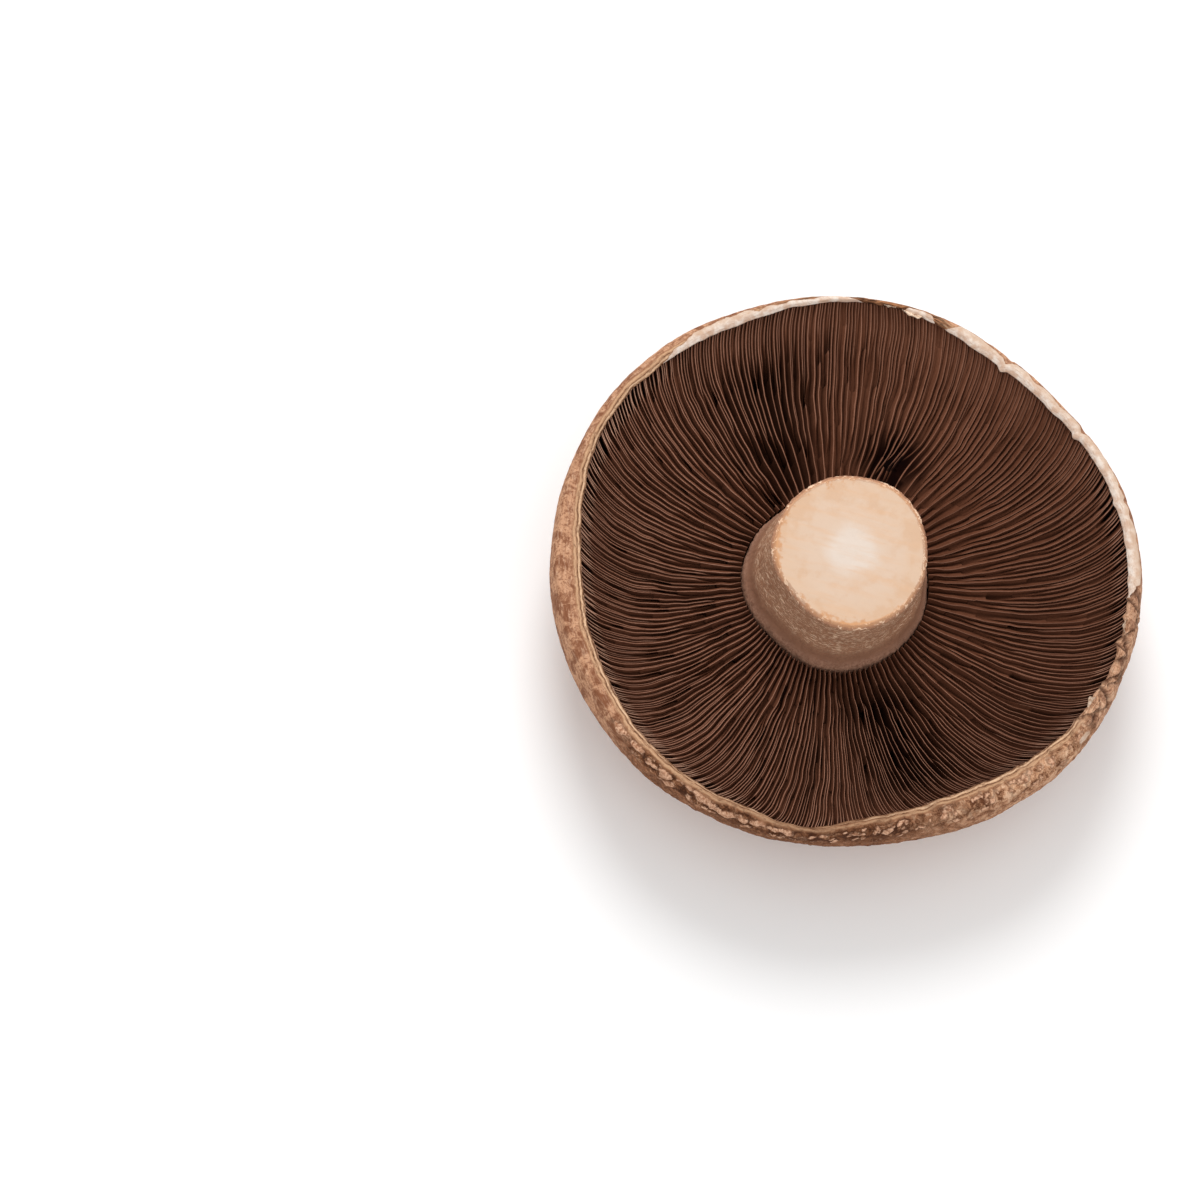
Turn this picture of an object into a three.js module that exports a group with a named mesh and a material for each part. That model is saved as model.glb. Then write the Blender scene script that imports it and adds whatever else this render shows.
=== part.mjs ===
// A portobello mushroom, picked and with its stem cut short. It lies on the crown of its cap,
// with the gills and the cut end of the stem facing up.
// Millimetres, +Z up. The origin is the middle of the flat spot that the crown rests on.
import * as THREE from "three";

// Cap: a shallow bowl of flesh under a skin, rounded over at the margin
const CROWN_SPOT = 14; // radius of the flat spot at the crown
const CAP_RADIUS = 56.4; // mean radius at the widest place
const CAP_WIDEST = 23; // height of the widest place
const MARGIN_RADIUS = 54; // mean radius along the top of the margin
const MARGIN_TOP = 28.6; // height of the top of the margin
const LIP_RADIUS = 52.4; // mean radius of the margin's inner edge, where the gills end
const LIP_DROP = 0.9; // from the top of the margin down to its inner edge

// Gills: blades that hang between the stem and the lip, deepest about halfway
const STEM_FOOT = 18.1; // radius of the stem where the gills meet it
const CREST_FOOT = 19.6; // height of the gills' free edges at the stem
const CREST_STEP = 1.4; // how far the edges climb just beside the stem
const CREST_CLIMB = 6.9; // how far they climb towards the lip
const FLOOR_FOOT = 12.4; // height of the bed between the gills at the stem
const FLOOR_SLOPE = 2; // how far the bed climbs evenly towards the lip
const FLOOR_CLIMB = 10.6; // how far it climbs close to the lip
const BED_THICKNESS = 1.2; // the dark layer that the gills grow from
const CREST_WIDTH = 0.6; // thickness of a gill at its free edge
const LONG_GILLS = 64; // gills that run from the stem to the lip
const GILLS_PER_LONG = 4; // one long, one middling and two short ones
const MIDDLING_START = [0.12, 0.4]; // nearest and furthest start, as a share of the way out
const SHORT_START = [0.48, 0.72];
const BIRTH_DEPTH = 0.12; // a gill's depth where it starts, as a share of its full depth
const GROWTH = 0.16; // the share of the way out over which it gets its full depth
const GAP = 0.3; // clearance between two pieces that meet

// Stem: flares where it meets the gills and leans a little
const STEM_TOP = 36.6; // height of the cut end
const STEM_CUT = 14.3; // radius of the cut end
const CUT_EDGE = 0.5; // bevel round the cut end
const STEM_SIDE = [[-1, 17.8], [1.6, 17], [4.2, 16.1], [8.5, 15.1]]; // [above CREST_FOOT, radius]
const STEM_OFFSET = new THREE.Vector2(-0.75, -2); // foot of the stem from the cap's middle
const STEM_LEAN = new THREE.Vector2(1.3, 0.15); // from the foot of the stem to its cut end
const CUT_SLANT = 0.12; // rise of the cut end across the stem, per millimetre
const CUT_TOWARDS = 105; // the direction of that rise, in degrees

// Outlines seen from above: [lobes, height in mm, direction of one lobe in degrees]
const SKIN_LOBES = [[1, 0.6, -107], [2, 0.9, -6], [3, 0.7, 1], [5, 0.2, 28], [6, 0.2, 27]];
const LIP_LOBES = [[1, 0.35, -164], [3, 1.1, 14], [4, 0.35, -10], [5, 0.4, 27], [6, 0.2, -22]];
const MARGIN_WAVES = [[2, 0.5, 60], [3, 0.45, -20], [5, 0.2, 10]]; // up and down
const STEM_LOBES = [[2, 0.25, 150], [3, 0.4, 60], [4, 0.2, 195], [5, 0.25, 204]];
const GILL_WAVES = [[3, 0.8, 40], [7, 0.3, 0], [11, 0.12, 9]]; // sideways, in mm
const WAVE_TURN = 0.3; // how far those waves turn on the way out, in radians

// Fineness of the meshes
const CAP_SECTORS = LONG_GILLS;
const STEM_SECTORS = 48;
const SKIN_DIVISIONS = 5; // of the skin's curve, and of the margin's
const RINGS = [0, 0.1, 0.26, 0.42, 0.58, 0.74, 0.88, 1]; // along the gills, stem to lip

const GILL_REACH = LIP_RADIUS - STEM_FOOT;
const FULL_TURN = 2 * Math.PI;

const lobed = (lobes, angle) =>
  lobes.reduce((sum, [n, height, towards]) => {
    return sum + height * Math.cos(n * (angle - THREE.MathUtils.degToRad(towards)));
  }, 0);

const crestHeight = (t) =>
  CREST_FOOT + CREST_STEP * (1 - Math.exp(-6 * t)) + CREST_CLIMB * t ** 4.5;
const floorHeight = (t) => FLOOR_FOOT + FLOOR_SLOPE * t + FLOOR_CLIMB * t ** 6;

// A point of the gill side, t of the way from the stem to the lip. The margin's waves reach the lip.
function gillPoint(t, angle, height) {
  const foot = STEM_FOOT + lobed(STEM_LOBES, angle);
  const lip = LIP_RADIUS + lobed(LIP_LOBES, angle);
  const radius = foot + (lip - foot) * t;
  const shift = Math.max(0, 1 - t);
  return new THREE.Vector3(
    radius * Math.cos(angle) + STEM_OFFSET.x * shift,
    radius * Math.sin(angle) + STEM_OFFSET.y * shift,
    height + lobed(MARGIN_WAVES, angle) * Math.max(0, t) ** 3,
  );
}

// A point of the skin, from the crown out to the top of the margin.
function skinPoint(radius, angle, height) {
  const share = radius / CAP_RADIUS;
  const grown = radius + lobed(SKIN_LOBES, angle) * share ** 2;
  return new THREE.Vector3(
    grown * Math.cos(angle),
    grown * Math.sin(angle),
    height + lobed(MARGIN_WAVES, angle) * (height / MARGIN_TOP) ** 2,
  );
}

// Closes rings of points into one surface. Each ring is an array of THREE.Vector3 with as many
// points as its neighbours, or a single point that closes an end. A last ring of many points lies
// level and is closed flat.
function surfaceOf(rings) {
  const corners = [];
  const faces = [];
  const starts = rings.map((ring) => {
    const start = corners.length;
    corners.push(...ring);
    return start;
  });
  for (let k = 0; k + 1 < rings.length; k++) {
    joinRings(faces, starts[k], rings[k].length, starts[k + 1], rings[k + 1].length);
  }
  const end = rings.length - 1;
  if (rings[end].length > 1) closeFlat(faces, starts[end], rings[end].length);
  return geometryOf(corners, faces);
}

function joinRings(faces, a, aCount, b, bCount) {
  const count = Math.max(aCount, bCount);
  for (let i = 0; i < count; i++) {
    const j = (i + 1) % count;
    if (bCount === 1) faces.push([a + i, a + j, b]);
    else if (aCount === 1) faces.push([a, b + j, b + i]);
    else faces.push([a + i, a + j, b + j], [a + i, b + j, b + i]);
  }
}

// One large face over the middle of a level ring, and the others in the three arcs beside it.
function closeFlat(faces, start, count) {
  const thirds = [0, 1, 2].map((k) => Math.round((k * count) / 3));
  faces.push(thirds.map((i) => start + i));
  thirds.forEach((from, k) => {
    const to = thirds[k + 1] ?? count;
    for (let i = from + 1; i < to; i++) {
      faces.push([start + from, start + i, start + ((i + 1) % count)]);
    }
  });
}

function geometryOf(corners, faces) {
  const geometry = new THREE.BufferGeometry().setFromPoints(corners);
  geometry.setIndex(faces.flat());
  geometry.computeVertexNormals();
  return geometry;
}

const circle = (count, place) =>
  Array.from({ length: count }, (_, i) => place((i / count) * FULL_TURN));

// The cap: up the skin from the crown, over the margin, and down the flesh under the gills.
function capGeometry() {
  const skin = new THREE.Path();
  skin.moveTo(CROWN_SPOT, 0);
  skin.absellipse(CROWN_SPOT, CAP_WIDEST, CAP_RADIUS - CROWN_SPOT, CAP_WIDEST, -Math.PI / 2, 0);
  skin.absellipse(
    MARGIN_RADIUS, CAP_WIDEST, CAP_RADIUS - MARGIN_RADIUS, MARGIN_TOP - CAP_WIDEST, 0, Math.PI / 2);
  const rings = skin.getPoints(SKIN_DIVISIONS).map(({ x, y }) =>
    circle(CAP_SECTORS, (angle) => skinPoint(x, angle, y)));
  const clear = (t) => t + GAP / GILL_REACH;
  const lipTop = MARGIN_TOP - LIP_DROP;
  rings.push(circle(CAP_SECTORS, (angle) => gillPoint(clear(1), angle, lipTop)));
  const flesh = (t) => floorHeight(t) - BED_THICKNESS - GAP;
  for (const t of [...RINGS].reverse()) {
    rings.push(circle(CAP_SECTORS, (angle) => gillPoint(clear(t), angle, flesh(t))));
  }
  rings.push([gillPoint(0, 0, flesh(0)).setX(STEM_OFFSET.x).setY(STEM_OFFSET.y)]);
  return surfaceOf(rings.map((ring) => ring.reverse()).reverse());
}

// The stem, from its seat on the flesh up to the cut end.
function stemGeometry() {
  const seat = FLOOR_FOOT - BED_THICKNESS;
  const sides = [
    [seat, STEM_FOOT - GAP],
    ...STEM_SIDE.map(([above, radius]) => [CREST_FOOT + above, radius]),
    [STEM_TOP - CUT_EDGE, STEM_CUT],
    [STEM_TOP, STEM_CUT - CUT_EDGE],
  ];
  const middle = (height) => {
    const up = Math.max(0, (height - CREST_FOOT) / (STEM_TOP - CREST_FOOT));
    return STEM_OFFSET.clone().addScaledVector(STEM_LEAN, up);
  };
  const place = (height, radius, angle) => {
    const { x, y } = middle(height);
    const grown = radius + lobed(STEM_LOBES, angle);
    const rise = CUT_SLANT * grown * Math.cos(angle - THREE.MathUtils.degToRad(CUT_TOWARDS));
    const slant = height < STEM_TOP - CUT_EDGE ? 0 : rise;
    return new THREE.Vector3(
      x + grown * Math.cos(angle), y + grown * Math.sin(angle), height + slant);
  };
  const rings = sides.map(([height, radius]) =>
    circle(STEM_SECTORS, (angle) => place(height, radius, angle)));
  const end = (height) => {
    const { x, y } = middle(height);
    return [new THREE.Vector3(x, y, height)];
  };
  return surfaceOf([end(seat), ...rings, end(STEM_TOP)]);
}

// How far out from the stem each gill starts: the long ones at the stem, the others between them.
function gillStart(number) {
  const rank = number % GILLS_PER_LONG;
  if (rank === 0) return 0;
  const [nearest, furthest] = rank === 2 ? MIDDLING_START : SHORT_START;
  return THREE.MathUtils.lerp(nearest, furthest, THREE.MathUtils.seededRandom(number));
}

// The gills, raised from their bed. In each ring every gill there has two corners on its free edge,
// and between two gills one corner lies in the valley. A gill that starts between two others
// grows out of their valley.
function gillsGeometry() {
  const total = LONG_GILLS * GILLS_PER_LONG;
  const corners = [];
  const faces = [];
  const add = (point) => corners.push(point) - 1;

  const ringAt = (t) => {
    const radius = STEM_FOOT + GILL_REACH * t;
    const half = CREST_WIDTH / 2 / radius;
    const angleOf = (number) => {
      const even = ((number + 0.5) / total) * FULL_TURN;
      const sway = lobed(GILL_WAVES, even + WAVE_TURN * t) * Math.sin(Math.PI * t);
      return even + sway / radius;
    };
    const all = Array.from({ length: total }, (_, number) => number);
    const there = all.filter((number) => gillStart(number) <= t);
    return there.map((number, k) => {
      const start = gillStart(number);
      const grown = start === 0 ? 1 : Math.min(1, BIRTH_DEPTH + (t - start) / GROWTH);
      const low = floorHeight(t);
      const height = low + (crestHeight(t) - low) * grown;
      const angle = angleOf(number);
      const next = there[(k + 1) % there.length] + (k + 1 === there.length ? total : 0);
      const between = (angle + angleOf(next)) / 2;
      return {
        number,
        left: add(gillPoint(t, angle - half, height)),
        right: add(gillPoint(t, angle + half, height)),
        valley: add(gillPoint(t, between, low)),
      };
    });
  };
  const quad = (a, b, c, d) => faces.push([a, b, c], [a, c, d]);
  const rings = RINGS.map(ringAt);

  // The underside of the bed, with a corner under each long gill, and the two edges
  const under = RINGS.map((t) =>
    circle(LONG_GILLS, (angle) => add(gillPoint(t, angle, floorHeight(t) - BED_THICKNESS))));
  for (let k = 0; k + 1 < under.length; k++) {
    for (let i = 0; i < LONG_GILLS; i++) {
      const j = (i + 1) % LONG_GILLS;
      quad(under[k][i], under[k][j], under[k + 1][j], under[k + 1][i]);
    }
  }
  const edge = (ring, below, outward) => {
    const rim = ring.flatMap((gill) => [
      [gill.number, gill.left],
      [gill.number, gill.right],
      [gill.number, gill.valley],
    ]);
    const sectorOf = (number) => Math.floor(number / GILLS_PER_LONG);
    rim.forEach(([number, corner], i) => {
      const [after, next] = rim[(i + 1) % rim.length];
      const here = below[sectorOf(number)];
      const there = below[sectorOf(after)];
      faces.push(outward ? [corner, here, next] : [corner, next, here]);
      if (here !== there) faces.push(outward ? [here, there, next] : [here, next, there]);
    });
  };
  edge(rings[0], under[0], false);
  edge(rings[rings.length - 1], under[under.length - 1], true);

  // The free edges and sides of the gills
  for (let k = 0; k + 1 < rings.length; k++) {
    const outer = rings[k + 1];
    let j = 0;
    for (let i = 0; i < rings[k].length; i++) {
      const gill = rings[k][i];
      const next = rings[k][(i + 1) % rings[k].length];
      while (outer[j].number !== gill.number) j++;
      quad(gill.left, outer[j].left, outer[j].right, gill.right);
      quad(gill.right, outer[j].right, outer[j].valley, gill.valley);
      while (outer[(j + 1) % outer.length].number !== next.number) {
        const born = outer[j + 1];
        faces.push([gill.valley, outer[j].valley, born.left]);
        faces.push([gill.valley, born.left, born.right]);
        faces.push([gill.valley, born.right, born.valley]);
        j++;
      }
      quad(gill.valley, outer[j].valley, outer[(j + 1) % outer.length].left, next.left);
    }
  }
  return geometryOf(corners, faces);
}

const mushroom = new THREE.Group();
const pieces = [
  ["cap", capGeometry(), { color: 0xa57e63, roughness: 0.7, metalness: 0 }],
  ["gills", gillsGeometry(), { color: 0x5a3c2f, roughness: 0.9, metalness: 0 }],
  ["stem", stemGeometry(), { color: 0xe8cfb6, roughness: 0.65, metalness: 0 }],
];
for (const [name, geometry, finish] of pieces) {
  const piece = new THREE.Mesh(geometry, new THREE.MeshStandardMaterial(finish));
  piece.name = name;
  mushroom.add(piece);
}

export default mushroom;
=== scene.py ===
# The looks of a portobello mushroom that lies on the crown of its cap, gills up.
# Shapes are worked out in millimetres, in the frame's axes, and turned to metres in each mesh.
# An angle is a direction seen from above, in degrees from +X towards +Y.
import math

import bpy
import numpy as np
from mathutils import Matrix, Vector


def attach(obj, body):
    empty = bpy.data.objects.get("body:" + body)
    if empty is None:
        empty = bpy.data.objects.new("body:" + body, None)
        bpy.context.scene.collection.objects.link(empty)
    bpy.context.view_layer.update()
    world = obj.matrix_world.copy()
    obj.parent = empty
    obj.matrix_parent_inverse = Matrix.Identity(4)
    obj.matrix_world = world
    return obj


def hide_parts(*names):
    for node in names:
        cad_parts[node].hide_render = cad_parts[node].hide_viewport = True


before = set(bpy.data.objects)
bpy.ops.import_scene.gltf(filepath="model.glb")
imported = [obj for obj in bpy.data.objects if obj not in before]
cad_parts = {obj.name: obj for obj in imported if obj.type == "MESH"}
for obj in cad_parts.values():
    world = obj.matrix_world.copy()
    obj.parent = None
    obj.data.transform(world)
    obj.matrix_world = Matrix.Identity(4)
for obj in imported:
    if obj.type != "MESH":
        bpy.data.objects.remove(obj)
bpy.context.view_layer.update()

MM = 0.001

# Cap, as in the frame
CROWN_SPOT = 14.0
CAP_RADIUS = 56.4
CAP_WIDEST = 23.0
MARGIN_RADIUS = 54.8
MARGIN_TOP = 28.6
LIP_RADIUS = 52.7
LIP_TOP = 27.7

# Gills
STEM_FOOT = 18.1
CREST_FOOT = 19.6
CREST_STEP = 1.4
CREST_CLIMB = 6.9
CREST_POWER = 4.5
FLOOR_FOOT = 12.4
FLOOR_SLOPE = 2.0
FLOOR_CLIMB = 10.6
BED_THICKNESS = 1.2
GILL_REACH = LIP_RADIUS - STEM_FOOT
GAP = 0.3
LONG_GILLS = 104
GILLS_PER_LONG = 5
GILL_RINGS = 108

# Each set has one long gill and four that start further out: where they start, as a share of the
# way from the stem to the lip, and how much lower they are
EARLIEST_START = np.array([0.0, 0.35, 0.02, 0.6, 0.22])
LATEST_START = np.array([0.0, 0.8, 0.32, 0.93, 0.62])
LOWER_BY = np.array([0, 0.45, 0.1, 0.7, 0.4])
FULL_GROWN_AFTER = 0.2

# How the gills lie
GILL_PIECES = 3
CROWDING = 0.2
CROWDED_TOWARDS = 250
SAG_LEVEL = 15

# The bruise beside the stem
BRUISE_RADIUS = 25.5
BRUISE_TOWARDS = 77
BRUISE_LENGTH = 6.5
BRUISE_WIDTH = 3.2

# Stem
STEM_TOP = 36.6
STEM_CUT = 14.3
STEM_OFFSET = np.array([-0.75, -2.0])
STEM_LEAN = np.array([1.3, 0.15])
CUT_SLANT = 0.12
CUT_TOWARDS = 105

# Outlines seen from above: (lobes, height, direction of one lobe)
SKIN_LOBES = [(1, 0.6, -107), (2, 0.9, -6), (3, 0.7, 1), (5, 0.2, 28), (6, 0.2, 27)]
LIP_LOBES = [(1, 0.35, -164), (3, 1.2, 14), (4, 0.35, -10), (5, 0.45, 27), (6, 0.35, -22)]

# Places where that outline bulges: (height, direction, width)
LIP_BULGES = [(0.6, 103, 24), (1.9, 352, 28), (1.7, 276, 8)]
MARGIN_BULGES = [(0.9, 276, 9)]

# More lobes: of the margin's height, and of the stem
MARGIN_WAVES = [(2, 0.5, 60), (3, 0.45, -20), (5, 0.2, 10)]
STEM_LOBES = [(2, 0.15, 150), (3, 0.25, 60), (4, 0.1, 195), (5, 0.12, 204)]

# Camera: the view is 68.5 degrees above the horizon and rolled clockwise
PHOTO_SIZE = 1200
CAP_CENTRE_PX = (844.2, 566.0)
PX_PER_MM = 5.186
VIEW_ELEVATION = 68.5
VIEW_ROLL = 15.0
LENS = 100.0
SENSOR = 36.0


# Numbers that stand in for chance, the same at every run
def hashed(cells, seed):
    """A number from 0 to 1 for each whole-numbered cell."""
    x, y, z = (cells[..., i].astype(np.int64).astype(np.uint32) for i in range(3))
    n = x * np.uint32(374761393) + y * np.uint32(668265263) + z * np.uint32(2147483647)
    n = n + np.uint32(seed * 1274126177 % 2 ** 32)
    n = (n ^ (n >> np.uint32(13))) * np.uint32(1103515245)
    n = n ^ (n >> np.uint32(16))
    return (n & np.uint32(0xFFFFFF)) / float(0xFFFFFF)


def noise(points, seed=0):
    """Smooth noise from -1 to 1 at each point of an (..., 3) array."""
    base = np.floor(points)
    part = points - base
    part = part * part * (3 - 2 * part)
    total = 0
    for dx in (0, 1):
        for dy in (0, 1):
            for dz in (0, 1):
                weight = (np.where(dx, part[..., 0], 1 - part[..., 0])
                          * np.where(dy, part[..., 1], 1 - part[..., 1])
                          * np.where(dz, part[..., 2], 1 - part[..., 2]))
                total = total + weight * hashed(base + np.array([dx, dy, dz]), seed)
    return total * 2 - 1


def fractal(points, octaves, seed=0):
    total, size = 0, 1.0
    for octave in range(octaves):
        total = total + size * noise(points * 2.03 ** octave, seed + octave)
        size *= 0.5
    return total


def xyz(x, y, z):
    return np.stack(np.broadcast_arrays(x, y, z), axis=-1).astype(float)


# Shapes shared with the frame
def lobed(lobes, angle):
    return sum(height * np.cos(n * (angle - math.radians(towards))) for n, height, towards in lobes)


def window(angle, start, end, soft=4.0):
    """1 between two directions, going counter-clockwise from start to end, with soft ends."""
    half = ((end - start) % 360) / 2
    off = np.abs((np.degrees(angle) - start - half + 180) % 360 - 180)
    return np.clip((half - off) / soft + 0.5, 0, 1)


def bell(angle, centre, width):
    """1 at a direction, fading to both sides."""
    off = (np.degrees(angle) - centre + 180) % 360 - 180
    return np.exp(-(off / width) ** 2)


def bulged(bulges, angle):
    return sum(height * bell(angle, towards, width) for height, towards, width in bulges)


def crest_height(t):
    return CREST_FOOT + CREST_STEP * (1 - np.exp(-6 * t)) + CREST_CLIMB * t ** CREST_POWER


def floor_height(t):
    return FLOOR_FOOT + FLOOR_SLOPE * t + FLOOR_CLIMB * t ** 6


def gill_point(t, angle, height):
    foot = STEM_FOOT + lobed(STEM_LOBES, angle)
    lip = LIP_RADIUS + lobed(LIP_LOBES, angle) + bulged(LIP_BULGES, angle)
    radius = foot + (lip - foot) * t
    shift = np.maximum(0, 1 - t)
    return xyz(radius * np.cos(angle) + STEM_OFFSET[0] * shift,
               radius * np.sin(angle) + STEM_OFFSET[1] * shift,
               height + lobed(MARGIN_WAVES, angle) * np.maximum(0, t) ** 3)


def skin_point(radius, angle, height):
    grown = radius + lobed(SKIN_LOBES, angle) * (radius / CAP_RADIUS) ** 2
    return xyz(grown * np.cos(angle), grown * np.sin(angle),
               height + lobed(MARGIN_WAVES, angle) * (height / MARGIN_TOP) ** 2)


# Meshes
def piece(name, corners, faces, node, material, attributes=()):
    """A mesh object from corners in millimetres, riding on the mushroom in place of a frame node."""
    mesh = bpy.data.meshes.new(name)
    mesh.from_pydata(np.asarray(corners) * MM, [], faces)
    mesh.polygons.foreach_set("use_smooth", np.ones(len(mesh.polygons), bool))
    for key, values in dict(attributes).items():
        values = np.asarray(values, np.float32)
        kind = "FLOAT" if values.ndim == 1 else "FLOAT_VECTOR"
        field = "value" if values.ndim == 1 else "vector"
        mesh.attributes.new(key, kind, "POINT").data.foreach_set(field, values.ravel())
    mesh.materials.append(material)
    made = bpy.data.objects.new(name, mesh)
    bpy.context.scene.collection.objects.link(made)
    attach(made, "root")
    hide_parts(node)
    return made


def ring_faces(rows, count):
    """Faces between rings of the same count of corners, seen from outside when rings go upwards."""
    faces = []
    here = np.arange(count)
    after = (here + 1) % count
    for row in range(rows - 1):
        low, high = row * count, (row + 1) * count
        faces.append(np.stack([low + here, low + after, high + after, high + here], axis=1))
    return np.concatenate(faces).tolist()


class Graph:
    """A material whose calls each add a node and give back its output."""

    def __init__(self, name):
        self.material = bpy.data.materials.new(name)
        self.material.use_nodes = True
        self.tree = self.material.node_tree
        self.shader = self.tree.nodes["Principled BSDF"]

    def add(self, kind, inputs, output=0, **settings):
        node = self.tree.nodes.new(kind)
        for key, value in settings.items():
            setattr(node, key, value)
        for key, value in inputs.items():
            if isinstance(value, bpy.types.NodeSocket):
                self.tree.links.new(value, node.inputs[key])
            elif value is not None:
                node.inputs[key].default_value = value
        return node.outputs[output]

    def attribute(self, name, output="Fac"):
        return self.add("ShaderNodeAttribute", {}, output, attribute_name=name)

    def place(self):
        """The place on the object, in millimetres."""
        at = self.add("ShaderNodeTexCoord", {}, "Object")
        return self.add("ShaderNodeVectorMath", {0: at, 3: 1 / MM}, 0, operation="SCALE")

    def noise(self, at, size, detail=3.0, rough=0.55, warp=0.0):
        inputs = {"Vector": at, "Scale": 1 / size, "Detail": detail, "Roughness": rough,
                  "Distortion": warp}
        return self.add("ShaderNodeTexNoise", inputs, "Fac")

    def warped(self, at, size, amount):
        """Places pushed about by noise, so that what is drawn there gets wavy edges."""
        inputs = {"Vector": at, "Scale": 1 / size, "Detail": 2.0}
        push = self.add("ShaderNodeTexNoise", inputs, "Color")
        push = self.add("ShaderNodeVectorMath", {0: push, 1: (0.5, 0.5, 0.5)}, 0, operation="SUBTRACT")
        push = self.add("ShaderNodeVectorMath", {0: push, 3: amount}, 0, operation="SCALE")
        return self.add("ShaderNodeVectorMath", {0: at, 1: push}, 0, operation="ADD")

    def ramp(self, value, stops):
        """A colour for each value from 0 to 1, given (value, colour) stops."""
        node = self.tree.nodes.new("ShaderNodeValToRGB")
        points = node.color_ramp.elements
        while len(points) < len(stops):
            points.new(0.5)
        for point, (place, colour) in zip(points, stops):
            point.position = place
            point.color = (*colour, 1.0)
        self.tree.links.new(value, node.inputs["Fac"])
        return node.outputs["Color"]

    def cells(self, at, size, feature="F1", output="Distance"):
        inputs = {"Vector": at, "Scale": 1 / size}
        return self.add("ShaderNodeTexVoronoi", inputs, output, feature=feature)

    def math(self, operation, a, b=None):
        return self.add("ShaderNodeMath", {0: a, 1: b}, 0, operation=operation)

    def times(self, a, b):
        return self.math("MULTIPLY", a, b)

    def span(self, value, low, high):
        """0 where a value is low and 1 where it is high, with a smooth change between them."""
        inputs = {"Value": value, "From Min": low, "From Max": high}
        return self.add("ShaderNodeMapRange", inputs, 0, interpolation_type="SMOOTHSTEP")

    def mix(self, share, a, b):
        node = self.tree.nodes.new("ShaderNodeMix")
        node.data_type = "RGBA"
        for socket, value in ((node.inputs[0], share), (node.inputs[6], a), (node.inputs[7], b)):
            if isinstance(value, bpy.types.NodeSocket):
                self.tree.links.new(value, socket)
            else:
                socket.default_value = value if isinstance(value, float) else (*value, 1.0)
        return node.outputs[2]

    def tint(self, under, over, value, low, high, share):
        """A colour over another, up to the given share, as a value goes from low to high."""
        return self.mix(self.times(self.span(value, low, high), share), under, over)

    def bump(self, height, distance, strength=1.0, normal=None):
        inputs = {"Height": height, "Distance": distance * MM, "Strength": strength,
                  "Normal": normal}
        return self.add("ShaderNodeBump", inputs, "Normal")

    def finish(self, colour, normal=None, roughness=0.6, **constants):
        links = {"Base Color": colour, "Normal": normal}
        if isinstance(roughness, bpy.types.NodeSocket):
            links["Roughness"] = roughness
        else:
            self.shader.inputs["Roughness"].default_value = roughness
        for key, socket in links.items():
            if socket is not None:
                self.tree.links.new(socket, self.shader.inputs[key])
        for key, value in constants.items():
            self.shader.inputs[key.replace("_", " ")].default_value = value
        return self.material


# The gills: one surface, raised from its bed and made as three pieces that meet in valleys. In
# each ring a gill has a corner on either side of its free edge and one on it, and one corner lies
# in the valley that follows it. The gills sag towards the side that was below when the mushroom
# hung, as their free edges do.
def gill_drift(angle, t):
    """How far a gill has wandered from its own direction, in mm towards greater angles."""
    level = np.cos(angle - math.radians(SAG_LEVEL))
    upper = np.sin(angle - math.radians(SAG_LEVEL))
    side = level / np.sqrt(level ** 2 + 0.12)
    near = np.maximum(0, -upper)
    curve = -0.1 * t + (0.25 - 0.13 * near) * t ** 3 + (0.031 + 0.025 * near) * t ** 16
    return GILL_REACH * curve * side * (0.98 - 0.24 * upper)


def gill_lean(angle, t, at):
    """How far the free edge leans over, as a share of the spacing of the gills."""
    level = np.cos(angle - math.radians(SAG_LEVEL))
    lean = -0.5 * level - 0.18 * bell(angle, 60, 25) + 0.14 * noise(at * 0.5, 6)
    return lean * min(1.0, t / 0.08)


def crowding(angle):
    """The gills stand closer together than their mean where this is under 1."""
    return 1 - CROWDING * np.cos(angle - math.radians(CROWDED_TOWARDS))


def gill_spacing(angle, t):
    return (1.1 - 0.5 * np.clip((t - 0.1) / 0.75, 0, 1)) * crowding(angle)


def painted_shine_and_gap_depth(angle):
    """1 where the free edges get a painted highlight over gaps painted dark, and little where the gills
    look flat; it also makes the gaps deeper.
    """
    return 0.3 + 0.7 * window(angle, 125, 335, 70) - 0.2 * bell(angle, 62, 24)


def open_gaps(angle, t):
    """1 where the gills stand apart, upright and deep."""
    upper = 0.8 * bell(angle, 126, 17) * np.clip(t / 0.08, 0, 1) * np.clip((0.9 - t) / 0.2, 0, 1)
    lower = bell(angle, 303, 15) * np.clip((t - 0.08) / 0.15, 0, 1) * np.clip((0.98 - t) / 0.2, 0, 1)
    return np.maximum(upper, 0.9 * lower)


def open_rim(angle, t):
    """1 where the ends of the gills part in twos and threes beside the lip."""
    where = window(angle, 150, 284, 20) * (1 - 0.75 * bell(angle, 272, 12))
    where = np.clip(where + 0.8 * window(angle, 315, 32, 16), 0, 1)
    return where * np.clip((t - 0.9) / 0.04, 0, 1) * np.clip((1.0 - t) / 0.012, 0.25, 1)


def bruise(angle, radius):
    """1 in the torn and darkened spot beside the stem, fading around it."""
    along = (radius - BRUISE_RADIUS) / BRUISE_LENGTH
    off = np.degrees(angle) - BRUISE_TOWARDS + 0.5 * (radius - 27)
    across = (off * math.pi / 180 * radius) / BRUISE_WIDTH
    return np.exp(-along ** 2 - across ** 2)


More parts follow.
